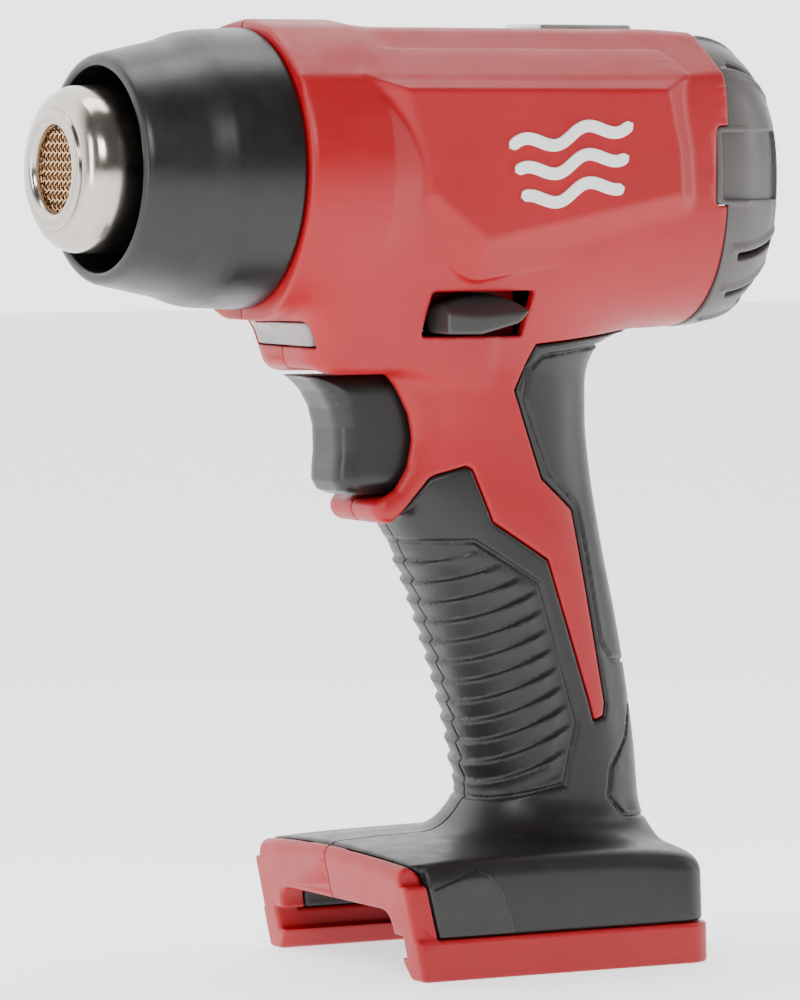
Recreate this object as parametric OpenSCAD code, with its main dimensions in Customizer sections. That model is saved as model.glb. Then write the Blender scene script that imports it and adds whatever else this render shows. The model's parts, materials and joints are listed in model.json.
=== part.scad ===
// Cordless hot-air gun with a slide-on battery foot.
// Frame: millimetres, +Z up, the nozzle points along -X, origin on the resting plane
// under the middle of the bounding box.

/* [Overall] */
// Height of the air axis above the resting plane
axis_z = 189; // [187:0.5:191]
// Distance from the origin to the tip of the nozzle
nose_x = 93; // [92:0.5:94]

/* [Nozzle] */
// Outer radius of the steel nozzle
nozzle_r = 19.35; // [19:0.05:19.8]
// Radius of the nozzle mouth
mouth_r = 9.9; // [9:0.1:11]
// Rear radius of the nozzle cover
cover_r = 32.9; // [32:0.1:33.5]

/* [Barrel] */
// Radius of the collar behind the nozzle cover
collar_r = 35; // [34:0.5:36]
// Wall of the barrel
wall = 2.6; // [2.2:0.2:3]
// Thickness of the soft grip layer
skin_t = 1.8; // [1.4:0.2:2]

/* [Foot] */
// Width of the battery foot
foot_w = 76; // [74:1:78]
// Height of the battery foot
foot_h = 30; // [29:0.5:31]
// Half width of the battery slot between the rails
slot_hw = 27; // [26:0.5:28]

/* [Controls] */
// Half width of the trigger
trigger_hw = 9; // [8.5:0.25:9]
// Travel of the trigger
trigger_travel = 6; // [4:0.5:6]
// Swing of the lock shuttle to each side, in degrees
shuttle_swing = 5; // [3:0.5:5]

/* [Fan] */
// Tip radius of the fan
fan_r = 24.5; // [23:0.5:24.5]
// Number of fan blades
fan_blades = 9; // [7:1:11]

/* [Hidden] */
RED = [0.72, 0.06, 0.08];
BLACK = [0.08, 0.08, 0.085];
GREY = [0.36, 0.35, 0.34];
STEEL = [0.66, 0.64, 0.6];
RING_N = 40;          // points round a lofted section
EPS = 0.01;
half_foot = foot_w / 2;
tip_x = -nose_x;
front_x = -43;        // front face of the barrel
cap_x = 73;           // joint between the barrel and the rear cap
rear_x = 93;
foot_x0 = -16;        // front and rear of the foot
foot_x1 = 66;
grip_wall = 2.4;      // structural wall under the grip layer
trigger_top = 140.6;
trigger_low = 112;
trigger_back = 4;
switch_x0 = 15;       // front of the switch body
pivot_x = -16;        // pivot of the lock shuttle
pin_r = 1.8;
shaft_r = 1.5;
motor_r = 14;
motor_x0 = 26;
motor_x1 = 56;
screw_r = 1.45;
boss_r = 3.6;
lead_r = 1.1;
SCREWS = [[-24, 152], [56, 152], [3.5, 104.5], [44, 100], [50, 50], [-3, 22.5], [57, 22.5]];
NOZZLE_SCREW_R = 22.5;
PLATE = [33, 59, 8, 221.4, 2]; // front, rear, half width, base height and thickness of the top plate
CAP_SCREW = [14, 159.5]; // distance to each side and height of the cap screws
window_x0 = -5.4;     // window of the lock shuttle
window_x1 = 22.2;

// ---------------------------------------------------------------- lofts
function sgn_pow(v, p) = sign(v) * pow(abs(v), p);
// Barrel section: [x, centre height, half width, half height, squareness]
function barrel_ring(s, g) = [for (i = [0 : RING_N - 1]) let (t = 360 * i / RING_N)
    [s[0], (s[2] - g) * sgn_pow(cos(t), 2 / s[4]), s[1] + (s[3] - g) * sgn_pow(sin(t), 2 / s[4])]];
// Handle section: [z, front x, back x, half width, squareness]
function handle_ring(s, g) = [for (i = [0 : RING_N - 1]) let (t = 360 * i / RING_N)
    [(s[1] + s[2]) / 2 + ((s[2] - s[1]) / 2 - g) * sgn_pow(cos(t), 2 / s[4]),
     (s[3] - g) * sgn_pow(sin(t), 2 / s[4]), s[0]]];

module skin(rings) {
    n = len(rings[0]);
    m = len(rings);
    points = [for (r = rings) each r];
    sides = [for (i = [0 : m - 2], j = [0 : n - 1]) let (k = (j + 1) % n)
        each [[i * n + j, (i + 1) * n + j, (i + 1) * n + k], [i * n + j, (i + 1) * n + k, i * n + k]]];
    ends = [[for (j = [0 : n - 1]) j], [for (j = [0 : n - 1]) m * n - 1 - j]];
    polyhedron(points = points, faces = concat(sides, ends));
}

BARREL = [
    [front_x, axis_z, cover_r + 0.3, cover_r + 0.3, 2],
    [front_x + 4.5, axis_z, collar_r, collar_r, 2],
    [-28, axis_z, collar_r, collar_r, 2.05],
    [-20, axis_z - 0.7, 33.6, 34, 2.1],
    [0, axis_z - 2, 33, 35.3, 2.25],
    [40, axis_z - 2.3, 32.6, 35.8, 2.3],
    [60, axis_z - 2.7, 31.6, 36.2, 2.3],
    [cap_x, axis_z - 3, 30, 35.5, 2.3]];
CAP = [
    [cap_x, axis_z - 3, 30, 35.5, 2.3],
    [78, axis_z - 3, 29.4, 35, 2.3],
    [83, axis_z - 3, 28.4, 33.4, 2.3],
    [87.5, axis_z - 3, 26.6, 30.6, 2.3],
    [91, axis_z - 3, 23.4, 26.8, 2.3],
    [rear_x, axis_z - 3, 18.5, 21.5, 2.3]];
HANDLE = [
    [24, 5.3, 64, 23.3, 2.6],
    [29.3, 10.6, 63.6, 20.2, 2.5],
    [34, 15.4, 64.6, 17.8, 2.4],
    [39, 17.8, 63.2, 16.8, 2.4],
    [48, 16.9, 62.1, 16.5, 2.4],
    [64, 12.9, 60.1, 16.5, 2.4],
    [81, 7.2, 56.8, 17, 2.4],
    [93, 2.6, 54, 17.2, 2.4],
    [101, -1.4, 52, 17.3, 2.4],
    [105, -6, 51.3, 17.2, 2.4],
    [107, -9.2, 51, 16.8, 2.4],
    [111, -10.3, 50.3, 16.6, 2.4],
    [114, -8.8, 49.8, 16.8, 2.5],
    [120, -7.2, 48.6, 17, 2.5],
    [127, -7, 47.8, 17.2, 2.5],
    [134, -8.4, 48, 17.6, 2.6],
    [139, -12.5, 50.4, 18, 2.6],
    [141.2, -30.5, 53, 17.8, 3],
    [144, -33, 57.5, 18.6, 3],
    [149, -34, 63, 20.4, 3],
    [156, -35.6, 66, 22.4, 3],
    [168, -37.5, 68, 26, 3]];

module barrel(g = 0) skin([for (s = BARREL) barrel_ring(s, g)]);
module handle(g = 0) skin([for (s = HANDLE) handle_ring(s, g)]);
module body(g_barrel = 0, g_handle = 0) {
    barrel(g_barrel);
    handle(g_handle);
}

// ---------------------------------------------------------------- foot
// Outline of the foot seen along the air axis, half of it, as [y, z]
function foot_half(g, z0) = [[0, z0], [half_foot - g, z0], [half_foot - g, 21 - g],
    [half_foot - 1.6 - g, 24.5 - g], [half_foot - 6 - g, foot_h - 1.6 - g], [0, foot_h - g]];
module along_x(x0, x1) translate([x0, 0, 0]) rotate([90, 0, 90]) linear_extrude(x1 - x0) children();
module along_y(y0, y1) translate([0, y1, 0]) rotate([90, 0, 0]) linear_extrude(y1 - y0) children();
module foot(g = 0, z0 = 0) {
    along_x(foot_x0 + g, foot_x1 - g) {
        polygon(foot_half(g, z0));
        mirror([1, 0]) polygon(foot_half(g, z0));
    }
}
// Free room of the foot: battery slot, rail grooves, terminal window and the hollow above
module foot_room() {
    translate([foot_x0 - 1, -slot_hw, -1]) cube([73, 2 * slot_hw, 17]);
    for (s = [-1, 1]) translate([foot_x0 - 1, s * (slot_hw + 1.5) - 2.5, 5]) cube([67, 5, 5.5]);
    translate([21.9, -18.1, 10]) cube([28.2, 36.2, 10]);
    intersection() {
        foot(3.2, 17);
        translate([foot_x0, -half_foot, 18.5]) cube([foot_x1 - foot_x0, foot_w, foot_h - 18.5 - 3]);
    }
}

// ---------------------------------------------------------------- regions of the soft grip
// Side view outlines as [x, z]
FRONT_GRIP = [[-9.5, 104], [-4.5, 110.5], [2, 116.8], [10.3, 118.6], [16, 105.4], [32, 95.8], [44.4, 61.7],
    [47, 53], [47, 10], [-60, 10], [-60, 104]];
BACK_GRIP = [[23, 136.5], [28, 147.2], [58.5, 150.6], [90, 150.6], [90, 10], [46, 10], [46.5, 53],
    [49, 58.5], [48.3, 62], [40.3, 107.4], [32, 115.5]];
FOOT_SKIN = [[-12.5, 26.5], [-9.5, 10], [70, 10], [70, 32], [-16.9, 32]];
module grip_regions() {
    along_y(-60, 60) {
        intersection() {
            union() {
                polygon(FRONT_GRIP);
                polygon(BACK_GRIP);
            }
            translate([-60, 30]) square([160, 130]);
        }
        polygon(FOOT_SKIN);
    }
}

module side(s) translate([-150, s > 0 ? 0 : -100, -5]) cube([300, 100, 260]);

// Pocket of the trigger and windows of the shuttle, lens and top plate
module control_openings() {
    translate([-45, -trigger_hw - 0.3, trigger_low - 0.4])
        cube([63, 2 * trigger_hw + 0.6, trigger_top + 0.8 - trigger_low]);
    translate([window_x0, -40, 149.8]) cube([window_x1 - window_x0, 80, 10.6]);
    translate([-50, -11.5, 147.4]) cube([21, 23, 6.2]);
    translate([PLATE[0] - 0.1, -PLATE[2] - 0.1, PLATE[3]])
        cube([PLATE[1] - PLATE[0] + 0.2, 2 * PLATE[2] + 0.2, 9]);
}

module screw_bosses() for (p = SCREWS)
    translate([p[0], 0, p[1]]) rotate([90, 0, 0]) cylinder(r = boss_r, h = 46, center = true, $fn = 20);
module screw_holes() for (p = SCREWS) translate([p[0], 0, p[1]]) {
    rotate([-90, 0, 0]) translate([0, 0, -9]) cylinder(r = screw_r + 0.15, h = 60, $fn = 20);
    rotate([-90, 0, 0]) translate([0, 0, 7]) cylinder(r = 3.4, h = 60, $fn = 20);
}

module cap_screw_rods(x0, x1, r) for (s = [-1, 1])
    translate([x0, s * CAP_SCREW[0], CAP_SCREW[1]])
        rotate([0, 90, 0]) cylinder(r = r, h = x1 - x0, $fn = 24);
module along_barrel(x0, x1) translate([x0, 0, axis_z])
    rotate([0, 90, 0]) linear_extrude(x1 - x0) children();
module along_axis(x0) translate([x0, 0, axis_z]) rotate([0, 90, 0]) children();

module housing(s) color(RED) resize([0, 0, 0]) intersection() {
    side(s);
    difference() {
        union() {
            difference() {
                union() {
                    difference() {
                        union() {
                            body();
                            foot();
                        }
                        grip_regions();
                    }
                    barrel(wall / 2);
                    handle(skin_t);
                    foot(skin_t);
                }
                barrel_room();
                handle_room();
                foot_room();
            }
            intersection() {
                screw_bosses();
                union() {
                    handle(skin_t);
                    translate([foot_x0 + 2, -30, 16.2]) cube([foot_x1 - foot_x0 - 4, 60, 12]);
                }
                difference() {
                    cube(400, center = true);
                    along_axis(-60) cylinder(r = 28.5, h = 140, $fn = RING_N);
                }
            }
            pivot_bosses();
            intersection() {
                barrel(wall / 2);
                cap_screw_rods(60, cap_x, 3.6);
            }
        }
        control_openings();
        screw_holes();
        nozzle_screw_holes();
        along_barrel(front_x - 1, front_x + 6) circle(r = 17.5, $fn = RING_N);
        cap_screw_rods(59, cap_x + 1, screw_r + 0.15);
        translate([pivot_x, 0, 140]) cylinder(r = pin_r + 0.15, h = 19, $fn = 24);
    }
}
module barrel_room() intersection() {
    barrel(wall);
    translate([front_x + 5 - EPS, -60, 100]) cube([cap_x - front_x - 5 + 1, 120, 160]);
}
module handle_room() intersection() {
    handle(skin_t + grip_wall);
    translate([-100, -60, 26]) cube([200, 120, 150]);
}
module pivot_bosses() difference() {
    for (z = [[141.4, 144.5], [153.5, 158.4]])
        translate([pivot_x, 0, z[0]]) {
            cylinder(r = 4.2, h = z[1] - z[0], $fn = 24);
            translate([-2, -17, 0]) cube([4, 34, z[1] - z[0]]);
        }
    translate([pivot_x, 0, 120]) cylinder(r = pin_r + 0.15, h = 60, $fn = 24);
}
module nozzle_screw_holes() for (a = [45 : 90 : 315])
    translate([front_x - 1, NOZZLE_SCREW_R * cos(a), axis_z + NOZZLE_SCREW_R * sin(a)])
        rotate([0, 90, 0]) cylinder(r = screw_r + 0.15, h = 9, $fn = 20);

module grip(s) color(BLACK) resize([0, 0, 0]) intersection() {
    side(s);
    difference() {
        intersection() {
            union() {
                body();
                foot();
            }
            grip_regions();
        }
        barrel(wall / 2);
        handle(skin_t);
        foot(skin_t);
        foot_room();
        handle_room();
        control_openings();
        screw_holes();
    }
}

// ---------------------------------------------------------------- nozzle end
// Revolved outlines are [radius, distance forward of the barrel's front face]
module revolve_forward(x0) translate([x0, 0, axis_z])
    rotate([0, -90, 0]) rotate_extrude($fn = 96) children();
function arc(cx, cy, r, a0, a1, n) = [for (i = [0 : n])
    let (a = a0 + (a1 - a0) * i / n) [cx + r * cos(a), cy + r * sin(a)]];

module nozzle_cover() color(BLACK) revolve_forward(front_x) polygon([
    [cover_r, 0], [cover_r - 0.2, 1], [cover_r - 0.9, 15.5], [29.9, 22.5], [26.9, 37.2], [26.2, 38.2],
    [24.4, 38.5], [23.8, 37.9], [25.2, 22], [28.4, 15], [29.4, 0]]);

nozzle_len = nose_x + front_x;    // reach of the nozzle in front of the barrel
MESH_DEPTH = 2.6;                 // how far the wire mesh sits behind the tip
module nozzle() color(STEEL) difference() {
    revolve_forward(front_x) polygon(concat(
        [[nozzle_r, 2.8], [26, 2.8], [26, 2], [nozzle_r - 0.8, 2]],
        arc(nozzle_r - 6.6, nozzle_len - 6.6, 5.8, 0, 80, 8),
        arc(mouth_r + 2, nozzle_len - 2, 1.2, 90, 180, 5),
        [[mouth_r + 0.8, nozzle_len - MESH_DEPTH], [mouth_r, nozzle_len - MESH_DEPTH]],
        arc(mouth_r + 2, nozzle_len - 2, 2, 180, 90, 8),
        arc(nozzle_r - 6.6, nozzle_len - 6.6, 6.6, 80, 0, 10)));
    nozzle_screw_through();
}
module nozzle_screw_through() for (a = [45 : 90 : 315])
    translate([front_x - 5, NOZZLE_SCREW_R * cos(a), axis_z + NOZZLE_SCREW_R * sin(a)])
        rotate([0, 90, 0]) cylinder(r = screw_r + 0.15, h = 6, $fn = 24);
module flange_gasket() color([0.75, 0.7, 0.6]) difference() {
    along_axis(front_x - 2) difference() {
        cylinder(r = 26, h = 2, $fn = 64);
        translate([0, 0, -1]) cylinder(r = 18.4, h = 4, $fn = 64);
    }
    nozzle_screw_through();
}
module nozzle_screws() color(STEEL) for (a = [45 : 90 : 315])
    translate([front_x - 2.8, NOZZLE_SCREW_R * cos(a), axis_z + NOZZLE_SCREW_R * sin(a)])
    rotate([0, 90, 0]) {
        cylinder(r = screw_r, h = 7, $fn = 24);
        translate([0, 0, -1.6]) difference() {
            cylinder(r = 2.5, h = 1.6, $fn = 32);
            translate([-2, -0.4, -1]) cube([4, 0.8, 1.7]);
        }
    }
module nozzle_mesh() color([0.8, 0.6, 0.4]) along_axis(tip_x + MESH_DEPTH) {
    difference() {
        cylinder(r = 12.2, h = 1.2, $fn = 64);
        translate([0, 0, -1]) cylinder(r = 10.2, h = 3, $fn = 64);
    }
    intersection() {
        translate([0, 0, -1]) cylinder(r = 10.4, h = 3, $fn = 64);
        union() for (i = [-4 : 4]) {
            translate([i * 2.4 - 0.25, -12, 0.2]) cube([0.5, 24, 0.5]);
            translate([-12, i * 2.4 - 0.25, 0.5]) cube([24, 0.5, 0.5]);
        }
    }
}
module heater_tube() color([0.78, 0.72, 0.6]) along_axis(tip_x + 8.2) difference() {
    cylinder(r = 17.2, h = -front_x - 1 + nose_x - 82, $fn = 64);
    translate([0, 0, -1]) cylinder(r = 16.4, h = 80, $fn = 64);
}
HEATER_TURNS = 9;
module coil_rings(r) for (i = [0 : HEATER_TURNS - 1])
    along_axis(-80 + 4 * i) rotate_extrude($fn = 64) translate([11.5, 0]) circle(r = r, $fn = 24);
module heater_former() color([0.82, 0.78, 0.68]) difference() {
    union() {
        translate([-83, -0.6, axis_z - 16.36]) cube([38, 1.2, 32.72]);
        translate([-83, -16.36, axis_z - 0.6]) cube([38, 32.72, 1.2]);
    }
    coil_rings(1.0);
}
module heater_coil() color([0.6, 0.45, 0.35]) coil_rings(0.7);
module thermal_cutout() color(STEEL) translate([-45, 0, axis_z]) rotate([0, 90, 0]) {
    cylinder(r = 4, h = 3.5, $fn = 32);
    translate([-7, -1.2, 3.5]) cube([14, 2.4, 1]);
}

// ---------------------------------------------------------------- air path and motor
module air_duct() color([0.2, 0.2, 0.21]) difference() {
    translate([front_x + 5, 0, axis_z]) rotate([0, 90, 0]) rotate_extrude($fn = 96) polygon([
        [17.2, 0], [24, 0], [24, 2], [19.2, 2.6], [27.4, 52], [27.4, 109.5], [25.9, 109.5],
        [25.9, 52.4], [17.2, 3]]);
    translate([12, -6, axis_z - 36]) cube([9, 12, 20]);
}
module motor_mount() color(BLACK) {
    along_axis(38) difference() {
        cylinder(r = motor_r + 1.8, h = 8, $fn = 64);
        translate([0, 0, -1]) cylinder(r = motor_r, h = 10, $fn = 64);
    }
    intersection() {
        along_axis(38) difference() {
            cylinder(r = 25.9, h = 8, $fn = 64);
            translate([0, 0, -1]) cylinder(r = motor_r + 1.4, h = 10, $fn = 64);
        }
        union() for (a = [90, 210, 330])
            translate([38, 0, axis_z]) rotate([a, 0, 0]) translate([0, 0, -1.5]) cube([8, 30, 3]);
    }
}
module motor_can() color(STEEL) along_axis(motor_x0) difference() {
    cylinder(r = motor_r, h = motor_x1 - motor_x0, $fn = 64);
    translate([0, 0, 1.4]) cylinder(r = motor_r - 1.2, h = motor_x1 - motor_x0 - 2.8, $fn = 64);
    translate([0, 0, -1]) cylinder(r = 3.6, h = 40, $fn = 48);
}
module motor_magnets() color([0.25, 0.25, 0.27]) along_axis(motor_x0 + 5) intersection() {
    difference() {
        cylinder(r = motor_r - 1.2, h = 20, $fn = 64);
        translate([0, 0, -1]) cylinder(r = motor_r - 3.6, h = 22, $fn = 64);
    }
    union() {
        translate([-20, -8, -1]) cube([40, 16, 22]);
    }
}
module motor_bushes() color([0.72, 0.55, 0.3]) for (x = [motor_x0 - 1.6, motor_x1 - 1.6])
    along_axis(x) difference() {
        cylinder(r = 3.6, h = 3.2, $fn = 48);
        translate([0, 0, -1]) cylinder(r = shaft_r + 0.05, h = 6, $fn = 48);
    }
module rotor() color([0.5, 0.3, 0.2]) along_axis(motor_x0 + 5) difference() {
    union() {
        cylinder(r = 9.6, h = 18, $fn = 64);
        translate([0, 0, 18]) cylinder(r = 4.5, h = 4, $fn = 48);
    }
    for (a = [0 : 72 : 288])
        rotate([0, 0, a]) translate([9.2, 0, -1]) rotate([0, 0, 45]) cube([2.4, 2.4, 20]);
    translate([0, 0, -2]) cylinder(r = shaft_r, h = 30, $fn = 48);
}
module motor_shaft() color(STEEL) along_axis(motor_x0 - 3.5) cylinder(r = shaft_r, h = 48, $fn = 48);
FAN_X = 59.5;
module fan() color([0.15, 0.15, 0.16]) along_axis(FAN_X) difference() {
    union() {
        cylinder(r = 7.5, h = 11, $fn = 64);
        intersection() {
            translate([0, 0, 0.5]) cylinder(r = fan_r, h = 10, $fn = 64);
            union() for (i = [0 : fan_blades - 1]) rotate([0, 0, 360 * i / fan_blades])
                translate([5, 0, 5.5]) rotate([48, 0, 0]) translate([0, -7, -0.6]) cube([26, 14, 1.2]);
        }
    }
    translate([0, 0, -2]) cylinder(r = shaft_r, h = 20, $fn = 48);
}
module intake_screen() color([0.3, 0.3, 0.3]) along_axis(cap_x - 1.5) {
    difference() {
        cylinder(r = 27.2, h = 1.2, $fn = 64);
        translate([0, 0, -1]) cylinder(r = 25.2, h = 4, $fn = 64);
    }
    intersection() {
        translate([0, 0, -1]) cylinder(r = 26, h = 3, $fn = 64);
        union() for (i = [-5 : 5]) {
            translate([i * 4.6 - 0.4, -27, 0.2]) cube([0.8, 54, 0.5]);
            translate([-27, i * 4.6 - 0.4, 0.5]) cube([54, 0.8, 0.5]);
        }
    }
}
CAP_SLOTS = 14;
module rear_cap() color(GREY) resize([0, 0, 0]) difference() {
    union() {
        difference() {
            cap_shape();
            skin([for (i = [0 : len(CAP) - 2]) let (s = CAP[i])
                barrel_ring([s[0] - (i == 0 ? 1 : 0), s[1], s[2], s[3], s[4]], 2.4)]);
            for (i = [0 : CAP_SLOTS - 1]) translate([0, 0, axis_z - 3])
                rotate([360 * (i + 0.5) / CAP_SLOTS, 0, 0])
                translate([78, 14, -1.3]) cube([10.5, 30, 2.6]);
        }
        intersection() {
            cap_shape();
            cap_screw_rods(cap_x, 86, 4.2);
        }
    }
    cap_screw_rods(cap_x - 1, 100, screw_r + 0.15);
    cap_screw_rods(CAP_SEAT, 100, 3);
}
CAP_SEAT = 81;        // where the heads of the cap screws sit
module cap_shape() skin([for (s = CAP) barrel_ring(s, 0)]);
module cap_screws() color(STEEL) for (s = [-1, 1]) translate([CAP_SEAT, s * CAP_SCREW[0], CAP_SCREW[1]])
    rotate([0, 90, 0]) {
        translate([0, 0, -18]) cylinder(r = screw_r, h = 19, $fn = 24);
        difference() {
            cylinder(r = 2.7, h = 2, $fn = 32);
            translate([0, 0, 1]) cylinder(r = 1.2, h = 2, $fn = 6);
        }
    }

// ---------------------------------------------------------------- controls
// Side view of the trigger as [x, z]: hooked front, flat top and bottom
TRIGGER = concat([[trigger_back, trigger_top], [-28.6, trigger_top]],
    arc(-32.7, 124.6, 14.2, 62, 8, 8),
    [[-18.4, 122], [-19.4, 117.5], [-19.2, 114.5], [-17.4, 112.5], [-15.2, trigger_low],
        [trigger_back, trigger_low]]);
module trigger() color(BLACK) {
    difference() {
        along_y(-trigger_hw, trigger_hw) polygon(TRIGGER);
        translate([-6, -6, 118]) cube([20, 12, 16]);
    }
    translate([-6 - EPS, 0, 126]) rotate([0, 90, 0]) cylinder(r = 2.2, h = 24, $fn = 32);
}
SPRING_TURNS = 5;
module trigger_spring() color(STEEL) for (i = [0 : SPRING_TURNS - 1])
    translate([-5.3 + i * (switch_x0 + 4.6) / (SPRING_TURNS - 1), 0, 126]) rotate([0, 90, 0])
        rotate_extrude($fn = 48) translate([3.8, 0]) circle(r = 0.55, $fn = 24);
module switch_body() color([0.12, 0.12, 0.13]) difference() {
    translate([switch_x0, -7.5, 114]) cube([22, 15, 24]);
    translate([switch_x0 - 1, 0, 126]) rotate([0, 90, 0]) cylinder(r = 2.6, h = 11.5, $fn = 32);
}
module switch_contact() color([0.72, 0.55, 0.3]) for (z = [117, 121, 131, 135])
    translate([switch_x0 + 22, -3, z - 0.4]) cube([2, 6, 0.8]);
PADDLE = [[-2, 150.4], [-2, 155], [0.6, 157.4], [6, 159.3], [12.6, 159.9], [18.6, 157.6], [19.2, 156],
    [17.4, 154], [8.5, 150.6]];
module lock_shuttle() color(GREY) difference() {
    union() {
        translate([pivot_x, 0, 144.8]) cylinder(r = 4, h = 8.4, $fn = 48);
        translate([pivot_x, -3.5, 147]) cube([20, 7, 6]);
        translate([0.5, -16, 150.6]) cube([11, 32, 6]);
        for (s = [-1, 1]) mirror([0, s > 0 ? 1 : 0, 0]) along_y(-28.5, -15.9) polygon(PADDLE);
    }
    translate([pivot_x, 0, 140]) cylinder(r = pin_r + 0.05, h = 20, $fn = 48);
}
module shuttle_pin() color(STEEL) translate([pivot_x, 0, 141.4]) cylinder(r = pin_r, h = 16.8, $fn = 48);
module led_lens() color([0.8, 0.78, 0.76]) resize([0, 0, 0]) intersection() {
    handle();
    translate([-50, -11.5, 147.4]) cube([18.2, 23, 6.2]);
}
module led_board() color([0.1, 0.35, 0.15]) {
    translate([-31, -8, 147.8]) cube([1.6, 16, 5]);
    for (y = [-4, 4]) translate([-31.7, y - 1, 149.6]) cube([0.7, 2, 1.4]);
}

// ---------------------------------------------------------------- electronics
BOARD_TILT = -14;
module on_board() translate([31, 4, 66]) rotate([0, BOARD_TILT, 0]) children();
module control_board() color([0.1, 0.35, 0.15]) on_board() translate([-10, 0, -6]) cube([20, 1.6, 36]);
module heat_sink() color([0.7, 0.7, 0.72]) on_board() {
    translate([-8, -2, 4]) cube([16, 2, 16]);
    for (i = [0 : 4]) translate([-8 + i * 3.6, -6, 4]) cube([1.4, 4, 16]);
}
module capacitor() color([0.15, 0.2, 0.35]) on_board()
    translate([0, -4.2, -6]) cylinder(r = 4, h = 9, $fn = 48);
module terminal_block() color(BLACK) difference() {
    union() {
        translate([22, -18, 7]) cube([28, 36, 13]);
        translate([19, -21, 18.5]) cube([34, 42, 2]);
    }
    for (y = [-13 : 6.5 : 13]) translate([21, y - 1.5, 8.5]) cube([14, 3, 7]);
}
module contact_blades() color([0.75, 0.6, 0.35]) for (y = [-13 : 6.5 : 13])
    translate([23.5, y - 0.4, 9.5]) cube([11.5, 0.8, 5]);

// A lead is a swept round tube; its rings stand square to the route
function unit(v) = v / norm(v);
function tangent(p, i) = unit(p[min(i + 1, len(p) - 1)] - p[max(i - 1, 0)]);
function lead_ring(p, i, r) = let (t = tangent(p, i), u = unit(cross(t, [0, 1, 0.13])), v = cross(t, u))
    [for (k = [0 : 7]) p[i] + r * cos(45 * k) * u + r * sin(45 * k) * v];
module lead(p) skin([for (i = [0 : len(p) - 1]) lead_ring(p, i, lead_r)]);
module pair(p, gap) for (s = [-1, 1]) lead([for (q = p) q + [0, s * gap, 0]]);
BATTERY_ROUTE = [[40, -4.5, 20.5], [40, -4.5, 28], [38, -3.5, 36], [36.5, -3.2, 44], [35, -3.2, 52],
    [33, -3.2, 59.4]];
MOTOR_ROUTE = [[24, -4.5, 98], [26, -4.5, 104], [34, -4.5, 108], [39.6, -4.5, 114], [40.3, -4.5, 120],
    [40.3, -4.5, 132], [40.3, -4.5, 140], [38, -4, 146], [30, -3.4, 153], [21, -3, 158], [17, -3, 164],
    [17, -3, 171], [20, -3, 176], [24.4, -3, 178.5]];
HEATER_ROUTE = [[24, 5.5, 99], [26, 5.5, 105], [34, 5.5, 109], [39, 5.4, 114.5], [39.3, 5.4, 120],
    [39.3, 5.4, 132], [39.3, 5.5, 140], [37, 7, 146], [30, 8.5, 152], [22, 9.5, 158.8], [10, 9.5, 159.3],
    [-6, 9.5, 159.3], [-20, 9.5, 160.2], [-29, 8, 163.4], [-33.6, 7, 168.5]];
LED_ROUTE = [[-28.3, 0, 147.8], [-26.5, 0.5, 146.6], [-23, 7, 146.2], [-16, 9.8, 146.2],
    [-8, 10.4, 146.2], [4, 10.4, 146.2], [16, 10, 146], [27, 9.8, 144]];
module battery_leads() color([0.6, 0.1, 0.1]) pair(BATTERY_ROUTE, 1.6);
module motor_leads() color([0.1, 0.1, 0.6]) pair(MOTOR_ROUTE, 1.4);
module heater_leads() color([0.85, 0.85, 0.8]) pair(HEATER_ROUTE, 1.4);
module led_leads() color([0.7, 0.6, 0.1]) pair(LED_ROUTE, 1.2);

// ---------------------------------------------------------------- fasteners and trim
module housing_screws() color(STEEL) for (p = SCREWS) translate([p[0], 0, p[1]]) rotate([-90, 0, 0]) {
    translate([0, 0, -8]) cylinder(r = screw_r, h = 15, $fn = 24);
    translate([0, 0, 7]) difference() {
        cylinder(r = 3, h = 2.2, $fn = 32);
        translate([0, 0, 1.2]) cylinder(r = 1.4, h = 2, $fn = 6);
    }
}
module top_plate() color([0.7, 0.72, 0.68]) translate([PLATE[0], -PLATE[2], PLATE[3]])
    cube([PLATE[1] - PLATE[0], 2 * PLATE[2], PLATE[4]]);
// Three rising heat waves, each a bent stroke seen from the side, as [x, z]
function wave(x, z) = concat(
    [for (i = [0 : 16]) wave_point(x, z, i)],
    [for (i = [16 : -1 : 0]) wave_point(x + WAVE_W, z, i)]);
function wave_point(x, z, i) = [x + WAVE_A * sin(33.75 * i) + 0.28 * i, z + WAVE_H * i / 16];
WAVE_W = 3.2;         // width, swing and height of one stroke of the emblem
WAVE_A = 0.95;
WAVE_H = 19;
module emblem(s) color([0.92, 0.92, 0.92]) resize([0, 0, 0]) intersection() {
    side(s);
    difference() {
        barrel(-0.8);
        barrel();
    }
    along_y(s > 0 ? 10 : -50, s > 0 ? 50 : -10)
        for (k = [0 : 2]) polygon(wave(12 + 10 * k, 181.5 + 1.6 * k));
}

housing(-1);  // housing_left
housing(1);  // housing_right
grip(-1);  // grip_left
grip(1);  // grip_right
nozzle_cover();
nozzle();
nozzle_mesh();
flange_gasket();
nozzle_screws();
heater_tube();
heater_former();
heater_coil();
thermal_cutout();
air_duct();
motor_mount();
motor_can();
motor_magnets();
motor_bushes();
rotor();
motor_shaft();
fan();
intake_screen();
rear_cap();
cap_screws();
trigger();
trigger_spring();
switch_body();
switch_contact();
lock_shuttle();
shuttle_pin();
led_lens();
led_board();
control_board();
heat_sink();
capacitor();
terminal_block();
contact_blades();
battery_leads();
motor_leads();
heater_leads();
led_leads();
housing_screws();
top_plate();
emblem(-1);  // emblem_left
emblem(1);  // emblem_right
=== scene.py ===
import json
import math

import bmesh
import bpy
import numpy as np
from mathutils import Matrix, Vector


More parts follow.
